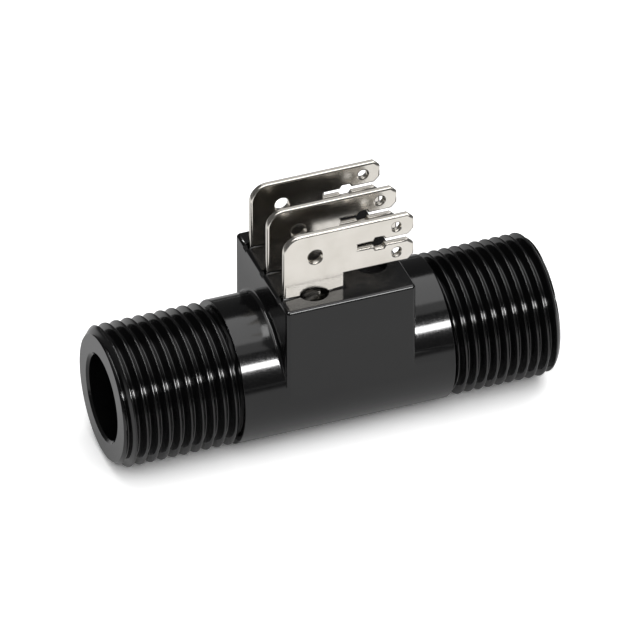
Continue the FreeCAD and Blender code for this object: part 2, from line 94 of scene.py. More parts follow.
def addCamera(view):
    az, el = view["azimuth"], view["elevation"]
    back = Vector((sin(az) * cos(el), -cos(az) * cos(el), sin(el)))
    right = Vector((cos(az), sin(az), 0))
    up = back.cross(right)
    data = bpy.data.cameras.new("photoCamera")
    data.sensor_width = view["sensorWidth"]
    data.lens = view["focalPixels"] * data.sensor_width / view["imagePixels"]
    data.clip_start, data.clip_end = view["clip"]
    camera = bpy.data.objects.new("photoCamera", data)
    scene.collection.objects.link(camera)
    middle = Vector((0, 0, axisHeight)) + right * view["shiftRight"] + up * view["shiftUp"]
    camera.location = middle + back * view["distance"]
    camera.rotation_mode = "QUATERNION"
    camera.rotation_quaternion = (-back).to_track_quat("-Z", "Y")
    scene.camera = camera


addCamera(cameraView)
print("camera placed")


# Finishes
noiseForm = {
    "detail": 3.0,
    "swayDetail": 1.0,               # a surface's long waves are smoother than its grain
    "spread": (0.3, 0.7),            # the part of the noise that runs from low to high
}
plainLook = {"stretch": (1, 1, 1), "metallic": 0.0, "ior": 1.5}  # where a finish names no other


def newFinish(name):
    finish = bpy.data.materials.new(name)
    finish.use_nodes = True
    return finish, finish.node_tree, finish.node_tree.nodes["Principled BSDF"]


def noiseOn(tree, scale, detail=noiseForm["detail"], stretch=plainLook["stretch"]):
    # grain on the piece's own coordinates; stretch above 1 packs it closer on that axis
    coords = tree.nodes.new("ShaderNodeTexCoord")
    mapping = tree.nodes.new("ShaderNodeMapping")
    mapping.inputs["Scale"].default_value = stretch
    noise = tree.nodes.new("ShaderNodeTexNoise")
    noise.inputs["Scale"].default_value = scale
    noise.inputs["Detail"].default_value = detail
    tree.links.new(coords.outputs["Object"], mapping.inputs["Vector"])
    tree.links.new(mapping.outputs["Vector"], noise.inputs["Vector"])
    return noise.outputs["Fac"]


def spanOf(tree, value, span, low=0.0, high=1.0):
    # the span of a value laid out between two others
    spread = tree.nodes.new("ShaderNodeMapRange")
    spread.inputs["From Min"].default_value, spread.inputs["From Max"].default_value = span
    spread.inputs["To Min"].default_value, spread.inputs["To Max"].default_value = low, high
    tree.links.new(value, spread.inputs["Value"])
    return spread


def colourOf(tree, fac, dark, light):
    ramp = tree.nodes.new("ShaderNodeValToRGB")
    stops = ramp.color_ramp.elements
    for stop, position, colour in zip(stops, noiseForm["spread"], (dark, light)):
        stop.position = position
        stop.color = (*colour, 1)
    tree.links.new(fac, ramp.inputs["Fac"])
    return ramp.outputs["Color"]


def bumpOf(tree, fac, height, under=None):
    bump = tree.nodes.new("ShaderNodeBump")
    bump.inputs["Distance"].default_value = height
    tree.links.new(fac, bump.inputs["Height"])
    if under is not None:
        tree.links.new(under, bump.inputs["Normal"])
    return bump.outputs["Normal"]


def grainedFinish(name, ownLook):
    look = plainLook | ownLook
    finish, tree, shader = newFinish(name)
    grain = noiseOn(tree, look["grain"], stretch=look["stretch"])
    cloud = noiseOn(tree, look["cloud"])
    colour = colourOf(tree, cloud, look["dark"], look["light"])
    roughness = spanOf(tree, grain, noiseForm["spread"], *look["roughness"])
    tree.links.new(colour, shader.inputs["Base Color"])
    tree.links.new(roughness.outputs["Result"], shader.inputs["Roughness"])
    shader.inputs["Metallic"].default_value = look["metallic"]
    shader.inputs["IOR"].default_value = look["ior"]
    normal = None
    if "sway" in look:
        swayScale, swayHeight = look["sway"]
        waves = noiseOn(tree, swayScale, noiseForm["swayDetail"])
        normal = bumpOf(tree, waves, swayHeight)
    if "bump" in look:
        normal = bumpOf(tree, grain, look["bump"], normal)
    if normal is not None:
        tree.links.new(normal, shader.inputs["Normal"])
    return finish


finishLooks = {
    "mouldedBlack": {
        "dark": (0.002, 0.002, 0.0022), "light": (0.0032, 0.0032, 0.0034), "cloud": 260,
        "grain": 5200, "roughness": (0.1, 0.16), "bump": 0.0004 * mm, "ior": 1.47,
        "sway": (240, 0.004 * mm),
    },
    "satinBlack": {
        "dark": (0.008, 0.008, 0.0082), "light": (0.013, 0.013, 0.0134), "cloud": 320,
        "grain": 3800, "roughness": (0.13, 0.21), "bump": 0.0008 * mm, "ior": 1.45,
        "sway": (260, 0.02 * mm),
    },
    "satinNickel": {
        "dark": (0.71, 0.675, 0.615), "light": (0.81, 0.775, 0.72), "cloud": 330, "metallic": 1.0,
        "grain": 900, "stretch": (1, 8, 14), "roughness": (0.12, 0.2), "bump": 0.0003 * mm,
        "sway": (300, 0.006 * mm),
    },
    "solderMask": {
        "dark": (0.012, 0.10, 0.04), "light": (0.02, 0.14, 0.06), "cloud": 700,
        "grain": 4000, "roughness": (0.25, 0.4), "bump": 0.002 * mm,
    },
    "mouldedEpoxy": {
        "dark": (0.014, 0.014, 0.014), "light": (0.022, 0.022, 0.022), "cloud": 1500,
        "grain": 9000, "roughness": (0.55, 0.7), "bump": 0.004 * mm,
    },
    "firedCeramic": {
        "dark": (0.40, 0.29, 0.19), "light": (0.48, 0.36, 0.24), "cloud": 2500,
        "grain": 12000, "roughness": (0.4, 0.55), "bump": 0.002 * mm,
    },
    "tinnedWire": {
        "dark": (0.66, 0.66, 0.66), "light": (0.74, 0.74, 0.73), "cloud": 3000, "metallic": 1.0,
        "grain": 6000, "roughness": (0.25, 0.4), "bump": 0.002 * mm,
    },
    "castResin": {
        "dark": (0.01, 0.01, 0.01), "light": (0.016, 0.016, 0.017), "cloud": 300,
        "grain": 900, "roughness": (0.08, 0.16), "bump": 0.004 * mm,
    },
    "fineMoulding": {
        "dark": (0.024, 0.024, 0.026), "light": (0.034, 0.034, 0.036), "cloud": 700,
        "grain": 9000, "roughness": (0.38, 0.5), "bump": 0.002 * mm,
    },
    "lappedCeramic": {
        "dark": (0.77, 0.76, 0.72), "light": (0.83, 0.82, 0.78), "cloud": 1500,
        "grain": 9000, "roughness": (0.2, 0.3),
    },
    "polishedJewel": {
        "dark": (0.42, 0.02, 0.055), "light": (0.55, 0.035, 0.08), "cloud": 1200, "ior": 1.77,
        "grain": 9000, "roughness": (0.04, 0.1),
    },
    "naturalAcetal": {
        "dark": (0.70, 0.70, 0.67), "light": (0.77, 0.77, 0.74), "cloud": 600,
        "grain": 8000, "roughness": (0.32, 0.45), "bump": 0.002 * mm,
    },
    "groundSteel": {
        "dark": (0.66, 0.66, 0.66), "light": (0.72, 0.72, 0.72), "cloud": 900, "metallic": 1.0,
        "grain": 2500, "stretch": (12, 1, 1), "roughness": (0.1, 0.2),
    },
    "sinteredFerrite": {
        "dark": (0.05, 0.05, 0.054), "light": (0.075, 0.075, 0.08), "cloud": 3000,
        "grain": 9000, "roughness": (0.45, 0.65), "bump": 0.004 * mm,
    },
}
finishes = {name: grainedFinish(name, look) for name, look in finishLooks.items()}

nodeFinishes = {
    "sensor_board": "solderMask",
    "hall_sensor": "mouldedEpoxy",
    "hall_leads": "tinnedWire",
    "pull_up_resistor": "mouldedEpoxy",
    "bypass_capacitor": "firedCeramic",
    "potting_resin": "castResin",
    "inlet_spider": "fineMoulding",
    "outlet_spider": "fineMoulding",
    "inlet_bearing": "lappedCeramic",
    "outlet_bearing": "lappedCeramic",
    "inlet_thrust_jewel": "polishedJewel",
    "outlet_thrust_jewel": "polishedJewel",
    "rotor": "naturalAcetal",
    "rotor_shaft": "groundSteel",
    "rotor_magnet": "sinteredFerrite",
    "magnet_retainer": "naturalAcetal",
}
for nodeName, finishName in nodeFinishes.items():
    slots = frame["nodes"][nodeName].data.materials
    slots.clear()
    slots.append(finishes[finishName])
print("finishes made:", len(finishes))


# Shared helpers for new pieces
pieceForm = {
    "sliver": 0.0005 * mm,           # shorter edges are dissolved
    "sharpAngle": radians(33),       # edges that turn further stay sharp
    "flatFrom": 0.9999,              # how square to its axis a flat face is, as a cosine
}


def finishPiece(bm, name, finishName, body, node, flatAxis=None):
    # faces square to the flat axis are shaded flat, the rest smooth up to their sharp edges
    bmesh.ops.remove_doubles(bm, verts=bm.verts, dist=tiny)
    bmesh.ops.dissolve_degenerate(bm, edges=bm.edges, dist=pieceForm["sliver"])
    bmesh.ops.recalc_face_normals(bm, faces=bm.faces)
    for face in bm.faces:
        face.smooth = True
    mesh = bpy.data.meshes.new(name)
    bm.to_mesh(mesh)
    bm.free()
    mesh.set_sharp_from_angle(angle=pieceForm["sharpAngle"])
    if flatAxis is not None:
        for face in mesh.polygons:
            face.use_smooth = abs(face.normal.dot(flatAxis)) < pieceForm["flatFrom"]
    mesh.materials.append(finishes[finishName])
    piece = bpy.data.objects.new(name, mesh)
    scene.collection.objects.link(piece)
    weighted = piece.modifiers.new("weightedNormals", "WEIGHTED_NORMAL")
    weighted.keep_sharp = True
    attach(piece, body)
    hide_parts(node)
    return piece


def lineOf(bm, points):
    # a line through points of length along the flow and radius, above the flow axis
    verts = [bm.verts.new((x, 0, axisHeight + radius)) for x, radius in points]
    return verts + [bm.edges.new(pair) for pair in zip(verts, verts[1:])]


def quarterTurn(steps):
    return [pi / 2 * i / steps for i in range(steps + 1)]


def radiusOf(point):
    return hypot(point.y, point.z - axisHeight)


def setRadius(vert, radius):
    ratio = radius / radiusOf(vert.co)
    vert.co.y *= ratio
    vert.co.z = axisHeight + (vert.co.z - axisHeight) * ratio


def openEdges(bm):
    return [edge for edge in bm.edges if edge.is_boundary]


def newVerts(result):
    return [item for item in result["geom"] if isinstance(item, bmesh.types.BMVert)]


def newEdges(result):
    return [item for item in result["geom"] if isinstance(item, bmesh.types.BMEdge)]


def extrudeTo(bm, edges, height):
    # upright walls from a rim to a height, and the rim there
    grown = bmesh.ops.extrude_edge_only(bm, edges=edges)
    for vert in newVerts(grown):
        vert.co.z = height
    return newEdges(grown)


# Threaded body: the tube with its two pipe threads, the bore and the terminal box
threadForm = {
    "inletPitch": 1.337 * mm,
    "outletPitch": 1.245 * mm,          # finer, as the photograph shows it
    "depth": 1.0 * mm,
    "rounding": 0.122 * mm,             # of crests and roots
    "flank": radians(27.5),
    "arcSteps": 8,
    "flankSteps": 4,
    "columns": 128,                     # round the flow axis, in the barrel and the bore too
    "inletChamfer": 0.9 * mm,           # at the end faces
    "outletChamfer": 1.25 * mm,
    "inletBulge": 1.0,                  # 1 is a straight chamfer, 2 a quarter round
    "outletBulge": 1.7,
    "runout": 0.25 * mm,                # plain groove beside the barrel
    "snap": 0.02 * mm,                  # a point this near an end lies on it
    "inletCrest": -13.56 * mm,          # where a crest crosses the top
    "outletCrest": 13.15 * mm,
}
bodyForm = {
    "inletThread": 14.3 * mm,           # end face to barrel
    "outletThread": 13.2 * mm,
    "barrelEdge": 0.1 * mm,             # rounding of the barrel's ends
    "barrelEdgeSteps": 3,
    "boreRadius": 5.05 * mm,
    "mouthChamfer": 0.3 * mm,
    "measuringRadius": 4.6 * mm,
    "measuringLength": 9.0 * mm,
    "boxCorner": 0.5 * mm,
    "rootFillet": 0.45 * mm,
    "filletFade": (7.0 * mm, 7.9 * mm),  # where the fillet runs out, from the middle
    "filletRows": 5,
    "wall": 1.2 * mm,
    "ledgeHeight": 1.3 * mm,
    "ledgeWidth": 1.0 * mm,
    "floorHeight": 6.0 * mm,            # above the flow axis
}


def flankPoints(first, last, steps):
    # the points between two arcs of the thread
    return [Vector(first).lerp(Vector(last), i / steps) for i in range(1, steps)]


def threadPitch(form, pitch):
    # one pitch of the rounded thread from crest to crest
    rounding, steps = form["rounding"], form["arcSteps"]
    swing = pi / 2 - form["flank"]
    crest = threadRadius - rounding
    root = threadRadius - form["depth"] + rounding
    turns = [swing * (2 * i / steps - 1) for i in range(steps + 1)]
    half = steps // 2
    falling = [(rounding * sin(t), crest + rounding * cos(t)) for t in turns[half:]]
    groove = [(pitch / 2 + rounding * sin(t), root - rounding * cos(t)) for t in turns]
    rising = [(pitch + rounding * sin(t), crest + rounding * cos(t)) for t in turns[:half]]
    points = falling + flankPoints(falling[-1], groove[0], form["flankSteps"]) + groove
    return points + flankPoints(groove[-1], rising[0], form["flankSteps"]) + rising


def leadInAt(fromFace, chamfer, bulge):
    # how far the lead-in has risen from the end face's edge
    left = 1 - min(1, max(0, fromFace / chamfer))
    return chamfer * (1 - left ** bulge) ** (1 / bulge)


def addThread(bm, form, end, faceX, barrelX):
    sleeve = bmesh.new()
    pitch, crestX = form[end + "Pitch"], form[end + "Crest"]
    chamfer, bulge = form[end + "Chamfer"], form[end + "Bulge"]
    columns = form["columns"]
    inward = 1 if barrelX > faceX else -1
    low, high = min(faceX, barrelX), max(faceX, barrelX)
    # whole turns, with one to spare past each end
    start = crestX - pitch * ceil((crestX - low) / pitch + 1)
    count = ceil((high - start) / pitch + 1)
    onePitch = threadPitch(form, pitch)
    points = [(start + i * pitch + x, r) for i in range(count) for x, r in onePitch]
    bmesh.ops.spin(sleeve, geom=lineOf(sleeve, points), cent=flowAxis, axis=(1, 0, 0),
                   angle=2 * pi, steps=columns, dvec=(pitch / columns, 0, 0))
    faceRadius = threadRadius - chamfer
    rootRadius = threadRadius - form["depth"]
    for vert in sleeve.verts:
        fromFace = (vert.co.x - faceX) * inward
        fromBarrel = (barrelX - vert.co.x) * inward
        if fromFace < form["snap"]:
            vert.co.x, fromFace = faceX, 0
        if fromBarrel < form["snap"]:
            vert.co.x, fromBarrel = barrelX, 0
        rise = max(0, fromBarrel - form["runout"]) / tan(form["flank"])
        leadIn = faceRadius + leadInAt(fromFace, chamfer, bulge)
        radius = min(radiusOf(vert.co), leadIn) if fromFace > 0 else faceRadius
        setRadius(vert, min(radius, rootRadius + rise))
    bmesh.ops.remove_doubles(sleeve, verts=sleeve.verts, dist=tiny)
    mesh = bpy.data.meshes.new("threadSleeve")
    sleeve.to_mesh(mesh)
    sleeve.free()
    bm.from_mesh(mesh)
    bpy.data.meshes.remove(mesh)


def spinClosed(bm, points):
    geom = lineOf(bm, points)
    bmesh.ops.spin(bm, geom=geom, cent=flowAxis, axis=(1, 0, 0), angle=2 * pi,
                   steps=threadForm["columns"], use_merge=True)


def boxWallAt(y, form, side):
    # how far along the flow the box's end wall is, with its rounded corner
    corner = form["boxCorner"]
    over = max(0, abs(y) - (barrelRadius - corner))
    inset = corner - corner * cos(asin(min(1, over / corner)))
    return capLow.x + inset if side < 0 else capHigh.x - inset


def filletAt(y, form):
    # the fillet's size, eased out towards the box's sides
    start, end = form["filletFade"]
    t = min(1, max(0, (abs(y) - start) / (end - start)))
    return form["rootFillet"] * (1 - t * t * (3 - 2 * t))


def spinBarrel(bm, thread, form, start, end):
    # plain barrel between the threads, with rounded ends and a ring at each side of the box
    edge, fillet = form["barrelEdge"], form["rootFillet"]
    rootRadius = threadRadius - thread["depth"]
    turns = quarterTurn(form["barrelEdgeSteps"])
    points = [(start, rootRadius)]
    points += [(start + edge - edge * cos(t), barrelRadius - edge + edge * sin(t)) for t in turns]
    points += [(capLow.x - fillet, barrelRadius), (capHigh.x + fillet, barrelRadius)]
    points += [(end - edge + edge * sin(t), barrelRadius - edge + edge * cos(t)) for t in turns]
    points += [(end, rootRadius)]
    spinClosed(bm, points)


def spinBore(bm, thread, form):
    # end faces, and the bore with its mouths and the narrower measuring length
    bore, measuring, mouth = form["boreRadius"], form["measuringRadius"], form["mouthChamfer"]
    stepIn = flowAxis.x - form["measuringLength"] / 2
    stepOut = flowAxis.x + form["measuringLength"] / 2
    inletFace = threadRadius - thread["inletChamfer"]
    outletFace = threadRadius - thread["outletChamfer"]
    spinClosed(bm, [
        (bodyLow.x, inletFace), (bodyLow.x, bore + mouth), (bodyLow.x + mouth, bore),
        (stepIn, bore), (stepIn, measuring), (stepOut, measuring), (stepOut, bore),
        (bodyHigh.x - mouth, bore), (bodyHigh.x, bore + mouth), (bodyHigh.x, outletFace)])


def openBarrel(bm, form):
    # opening in the barrel under the box, its edge bent to the box's plan
    ringIn, ringOut = capLow.x - form["rootFillet"], capHigh.x + form["rootFillet"]
    midWall = (form["boreRadius"] + barrelRadius) / 2
    upper = []
    for face in bm.faces:
        middle = face.calc_center_median()
        if ringIn < middle.x < ringOut and radiusOf(middle) > midWall and middle.z > axisHeight:
            upper.append(face)
    bmesh.ops.delete(bm, geom=upper, context="FACES")
    for ringX, side in ((ringIn, -1), (ringOut, 1)):
        for vert in bm.verts:
            if abs(vert.co.x - ringX) < tiny and radiusOf(vert.co) > midWall:
                y = vert.co.y if vert.co.z > axisHeight else barrelRadius
                vert.co.x = boxWallAt(y, form, side) + side * filletAt(y, form)


def raiseBox(bm, form):
    # fillet rows round the opening, then the walls up to the cap's seam
    rim = openEdges(bm)
    for t in quarterTurn(form["filletRows"])[1:]:
        grown = bmesh.ops.extrude_edge_only(bm, edges=rim)
        for vert in newVerts(grown):
            side = -1 if vert.co.x < flowAxis.x else 1
            y = barrelRadius * vert.co.y / radiusOf(vert.co)
            size = filletAt(y, form)
            vert.co.x = boxWallAt(y, form, side) + side * size * (1 - sin(t))
            setRadius(vert, barrelRadius + size * (1 - cos(t)))
        rim = newEdges(grown)
    return extrudeTo(bm, rim, seamHeight)


def rectangleAt(bm, inset, height):
    # the box's plan, set in from its walls
    x0, x1 = capLow.x + inset, capHigh.x - inset
    y = barrelRadius - inset
    corners = [bm.verts.new((*p, height)) for p in ((x0, -y), (x1, -y), (x1, y), (x0, y))]
    return [bm.edges.new((corners[i], corners[i - 1])) for i in range(4)]


def sinkCavity(bm, form, rim):
    # cavity for the board, with the ledge that carries it
    floorHeight = axisHeight + form["floorHeight"]
    ledgeHeight = floorHeight + form["ledgeHeight"]
    cavity = rectangleAt(bm, form["wall"], seamHeight)
    bmesh.ops.triangle_fill(bm, edges=rim + cavity, use_beauty=True, normal=(0, 0, 1))
    ledge = extrudeTo(bm, cavity, ledgeHeight)
    well = rectangleAt(bm, form["wall"] + form["ledgeWidth"], ledgeHeight)
    bmesh.ops.triangle_fill(bm, edges=ledge + well, use_beauty=True, normal=(0, 0, 1))
    bmesh.ops.edgeloop_fill(bm, edges=extrudeTo(bm, well, floorHeight))


def makeThreadedBody(thread, form):
    bm = bmesh.new()
    inletBarrel = bodyLow.x + form["inletThread"]
    outletBarrel = bodyHigh.x - form["outletThread"]
    spinBarrel(bm, thread, form, inletBarrel, outletBarrel)
    spinBore(bm, thread, form)
    addThread(bm, thread, "inlet", bodyLow.x, inletBarrel)
    addThread(bm, thread, "outlet", bodyHigh.x, outletBarrel)
    print("threads cut:", len(bm.faces), "faces")
    bmesh.ops.remove_doubles(bm, verts=bm.verts, dist=tiny)
    openBarrel(bm, form)
    boxRim = raiseBox(bm, form)
    sinkCavity(bm, form, boxRim)
    print("open edges left on the body:", len(openEdges(bm)))
    return finishPiece(bm, "threadedBody", "mouldedBlack", "housing", "body")


threadedBody = makeThreadedBody(threadForm, bodyForm)
print("threaded body made:", len(threadedBody.data.polygons), "faces")


# Blade terminals: stamped plates with a split tab
bladeNodes = {
    "bladeSupply": "terminal_supply",
    "bladeSignal": "terminal_signal",
    "bladeGround": "terminal_ground",
}
bladeForm = {
    "thickness": 0.8 * mm,
    "stampedEdge": 0.22 * mm,           # rounding left by the punch and the plating
    "edgeSteps": 3,
    "faceOn": 0.9,                      # how square to the thickness the two plain sides are
    "footWidth": 7.33 * mm,
    "footRise": 1.9 * mm,               # cap top to tab
    "footDepth": 2.0 * mm,              # sunk in the cap
    "legWidth": 1.6 * mm,
    "tabWidth": 6.3 * mm,
    "cornerRadius": 2.1 * mm,
    "cornerSteps": 12,
    "endChamfer": 0.7 * mm,
    "splitLength": 6.75 * mm,
    "splitWidth": 0.7 * mm,
    "keyLength": 1.82 * mm,
    "keyHeight": 1.5 * mm,
    "keySlant": 0.45 * mm,
    "keySetback": 3.23 * mm,
    "plateHole": (1.66 * mm, 3.8 * mm),  # size, and setback from the plate's left edge
    "prongHole": (1.06 * mm, 2.1 * mm),  # size, and setback from the tab's end
    "holeSteps": 36,
}


def bladeOutline(form, low, high):
    # the plate's outline, anticlockwise seen from the front, as length and height
    left, right, top = low.x, high.x, high.z
    footRight = left + form["footWidth"]
    footBottom = capHigh.z - form["footDepth"]
    tabBottom = capHigh.z + form["footRise"]
    legLeft = left + (form["footWidth"] - form["legWidth"]) / 2
    legRight = legLeft + form["legWidth"]
    middle, half = top - form["tabWidth"] / 2, form["splitWidth"] / 2
    chamfer, radius = form["endChamfer"], form["cornerRadius"]
    splitEnd = right - form["splitLength"]
    keyRight = right - form["keySetback"]
    keyLeft = keyRight - form["keyLength"]
    keyHalf, slant = form["keyHeight"] / 2, form["keySlant"]
    cut = slant * half / keyHalf
    lowerSplit = [(right - chamfer, -half), (keyRight - cut, -half), (keyRight - slant, -keyHalf),
                  (keyLeft + slant, -keyHalf), (keyLeft + cut, -half), (splitEnd, -half)]
    upperSplit = [(x, -z) for x, z in reversed(lowerSplit)]
    points = [(legLeft, low.z), (legRight, low.z), (legRight, footBottom), (footRight, footBottom),
              (footRight, tabBottom), (right - chamfer, tabBottom), (right, tabBottom + chamfer),
              (right, middle - half - chamfer)]
    points += [(x, middle + z) for x, z in lowerSplit + upperSplit]
    points += [(right, middle + half + chamfer), (right, top - chamfer), (right - chamfer, top)]
    for t in quarterTurn(form["cornerSteps"]):
        points.append((left + radius - radius * sin(t), top - radius + radius * cos(t)))
    points += [(left, footBottom), (legLeft, footBottom)]
    return points


def makeBlade(name, node, form):
    low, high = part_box(node)
    rounding, middle = form["stampedEdge"], high.z - form["tabWidth"] / 2
    front = (low.y + high.y) / 2 - form["thickness"] / 2 + rounding
    bm = bmesh.new()
    corners = [bm.verts.new((x, front, z)) for x, z in bladeOutline(form, low, high)]
    edges = [bm.edges.new((corners[i - 1], corners[i])) for i in range(len(corners))]
    plateHole, plateSetback = form["plateHole"]
    prongHole, prongSetback = form["prongHole"]
    prongRise = (form["tabWidth"] + form["splitWidth"]) / 4
    holes = [(low.x + plateSetback, middle, plateHole),
             (high.x - prongSetback, middle - prongRise, prongHole),
             (high.x - prongSetback, middle + prongRise, prongHole)]
    for x, z, size in holes:
        place = Matrix.Translation((x, front, z)) @ Matrix.Rotation(pi / 2, 4, "X")
        ring = bmesh.ops.create_circle(bm, segments=form["holeSteps"], radius=size / 2, matrix=place)
        touching = [edge for vert in ring["verts"] for edge in vert.link_edges]
        edges += dict.fromkeys(touching)        # each edge once, always in the same order
    bmesh.ops.triangle_fill(bm, edges=edges, use_beauty=True, normal=(0, -1, 0))
    grown = bmesh.ops.extrude_face_region(bm, geom=bm.faces[:])
    depth = form["thickness"] - 2 * rounding
    bmesh.ops.translate(bm, verts=newVerts(grown), vec=(0, depth, 0))
    bmesh.ops.recalc_face_normals(bm, faces=bm.faces)
    # both plain sides inset and raised in steps, which leaves a rounded edge
    steps = [(sin(t), cos(t)) for t in quarterTurn(form["edgeSteps"])]
    for facing in (-1, 1):
        plate = [face for face in bm.faces if face.normal.y * facing > form["faceOn"]]
        for (rise0, out0), (rise1, out1) in zip(steps, steps[1:]):
            bmesh.ops.inset_region(bm, faces=plate, thickness=rounding * (out0 - out1),
                                   depth=rounding * (rise1 - rise0), use_even_offset=True)
    finishPiece(bm, name, "satinNickel", "housing", node, Vector((0, 1, 0)))


for bladeName, nodeName in bladeNodes.items():
    makeBlade(bladeName, nodeName, bladeForm)
print("blade terminals made:", len(bladeNodes))


# Terminal cap: glossy sides, and a satin top with softened rims on its recesses
capForm = {
    "rimBevel": 0.12 * mm,
    "rimSteps": 3,
    "rimAngle": radians(60),            # edges of the top that turn further are rims
    "wellEdge": 1.0 * mm,               # the round wells' rims are in shorter edges
    "slotGap": 0.1 * mm,                # between a slot and the foot in it
    "slotReach": 0.15 * mm,             # a rim this near a foot is its slot's
    "meniscus": 0.26 * mm,              # the plastic drawn up round each foot
    "meniscusSteps": 4,
    "flatAngle": radians(0.5),          # triangles of the solid this flat are one face
    "topFacing": 0.95,                  # how squarely a satin face looks up
}


def footGap(vert, feet):
    # how far a vert is from the nearest foot in plan, and the foot's nearest point
    gaps = []
    for low, high in feet:
        x = min(max(vert.co.x, low.x), low.x + bladeForm["footWidth"])
        y = min(max(vert.co.y, low.y), high.y)
        gaps.append((hypot(vert.co.x - x, vert.co.y - y), x, y))
    return min(gaps)


def topRims(bm, form):
    top = capHigh.z - tiny
    return [edge for edge in bm.edges if edge.calc_face_angle(0) > form["rimAngle"]
            and all(vert.co.z > top for vert in edge.verts)]


def drawUp(bm, form, feet):
    # the slots' rims rounded, and the rounding turned upwards against the feet
    gap, size = form["slotGap"], form["meniscus"]
    rims = [edge for edge in topRims(bm, form)
            if all(footGap(vert, feet)[0] < form["slotReach"] for vert in edge.verts)]
    drawn = bmesh.ops.bevel(bm, geom=rims, offset=size, segments=form["meniscusSteps"],
                            affect="EDGES", profile=0.5, material=-1)
    for vert in drawn["verts"]:
        depth = capHigh.z - vert.co.z
        if depth > tiny:
            away, x, y = footGap(vert, feet)
            ratio = max(0, away - gap) * (size + gap) / size / away
            vert.co = (x + (vert.co.x - x) * ratio, y + (vert.co.y - y) * ratio, capHigh.z + depth)


def makeTerminalCap(form):
    bm = bmesh.new()
    bm.from_mesh(frame["nodes"]["terminal_cap"].data)
    bmesh.ops.remove_doubles(bm, verts=bm.verts, dist=tiny)
    bmesh.ops.dissolve_limit(bm, angle_limit=form["flatAngle"], verts=bm.verts, edges=bm.edges)
    bm.normal_update()
    feet = [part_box(node) for node in bladeNodes.values()]
    wells = [edge for edge in topRims(bm, form) if edge.calc_length() < form["wellEdge"]
             and any(footGap(vert, feet)[0] > form["slotReach"] for vert in edge.verts)]
    bmesh.ops.bevel(bm, geom=wells, offset=form["rimBevel"], segments=form["rimSteps"],
                    affect="EDGES", profile=0.5, material=-1)
    # long rims parted at the feet's left ends, where the slots turn into grooves
    bmesh.ops.bisect_plane(bm, geom=bm.verts[:] + bm.edges[:] + bm.faces[:],
                           plane_co=feet[0][0], plane_no=(1, 0, 0))
    bm.normal_update()
    drawUp(bm, form, feet)
    bm.normal_update()
    low, high = seamHeight, capHigh.z + tiny
    for face in bm.faces:
        upward = face.normal.z > form["topFacing"]
        satin = upward and all(low < vert.co.z < high for vert in face.verts)
        face.material_index = 1 if satin else 0
    print("open edges left on the cap:", len(openEdges(bm)))
    cap = finishPiece(bm, "terminalCap", "mouldedBlack", "housing", "terminal_cap")
    cap.data.materials.append(finishes["satinBlack"])


makeTerminalCap(capForm)
print("terminal cap made")


# Floor, studio light and background
stageForm = {
    "floorRadius": 30.0,
    "floorSegments": 64,
    "floorFront": 0.95,
    "floorShadeBehind": 0.55,                  # painted shade: the floor's gloss behind the object, where the photograph's gloss is darker
    "floorTurn": (-6 * mm, 12 * mm),    # from the front's tone to the painted shade behind
    "floorShadeLeft": 0.78,                  # painted shade, lighter than behind: left of the box
    "floorSide": (-19 * mm, -16 * mm),  # from the left's painted shade to the darker one behind
    "floorShadeFar": 0.12,                   # painted shade: what the gloss shows of the floor further out
    "floorReach": (70 * mm, 130 * mm),
    "floorSeen": (1.6, 1.6, 1.6),       # the floor to the eye, white up to the object's shadow
    "floorFade": (0.15, 0.5),           # how far out the floor turns to plain white for the eye
    "worldLight": 0.3,                  # what the world adds to the light on the object
    "cardRadius": 2.2,
    "cardRows": 8,
    "cardColumns": 48,
    "cardLow": radians(1.0),
    "cardHigh": radians(53),
    "cardGlow": 0.11,
}
lampForms = {
    "stripLight": {                     # the narrow band along the barrel
        "direction": (0.283, -0.795, 0.538), "distance": 1.2, "size": (0.9, 0.18),
        "power": 24, "diffuse": False, "glossy": True, "lights": ("threadedBody",),
    },
    "crestLight": {                     # thin lines along the threads' crests
        "direction": (-0.705, 0.08, 0.704), "distance": 1.29, "size": (1.25, 0.12),
        "power": 9, "diffuse": False, "glossy": True, "lights": ("threadedBody",),
    },
    "plateLight": {                     # the same band in the front plate
        "direction": (0.283, -0.795, 0.538), "distance": 1.2, "size": (0.9, 0.18),
        "power": 3, "diffuse": False, "glossy": True, "lights": ("bladeSupply",),
    },
    "footLight": {                      # in the cap's top, where the front plate mirrors it
        "direction": (0.283, -0.757, 0.59), "distance": 1.2, "size": (0.9, 0.4),
        "power": 18, "diffuse": False, "glossy": True, "lights": ("terminalCap",),
    },
    "cornerLight": {                    # on the cap's rounded edges
        "direction": (-0.365, -0.076, 0.928), "distance": 1.2, "size": (0.4, 0.4),
        "power": 12, "diffuse": False, "glossy": True, "lights": ("terminalCap",),
    },
    "topLight": {
        "direction": (0.2, 0.08, 0.98), "distance": 1.1, "size": (0.9, 1.4),
        "power": 6.0, "diffuse": True, "glossy": True,
    },
    "backLight": {                      # on the plates' upper edges
        "direction": (0.283, 0.757, 0.59), "distance": 1.4, "size": (1.2, 0.62),
        "power": 1.2, "diffuse": False, "glossy": True,
        "lights": tuple(bladeNodes),
    },
    "frontLight": {
        "direction": (-0.15, -0.62, 0.76), "distance": 1.3, "size": (1.8, 1.0),
        "power": 11, "diffuse": True, "glossy": False,
    },
}


def addStagePiece(name, bm, finish):
    mesh = bpy.data.meshes.new(name)
    bm.to_mesh(mesh)
    bm.free()
    mesh.materials.append(finish)
    piece = bpy.data.objects.new(name, mesh)
    scene.collection.objects.link(piece)
    return piece


def mixOf(tree, fac, first, second):
    mix = tree.nodes.new("ShaderNodeMixShader")
    tree.links.new(fac, mix.inputs["Fac"])
    tree.links.new(first.outputs[0], mix.inputs[1])
    tree.links.new(second.outputs[0], mix.inputs[2])
    return mix


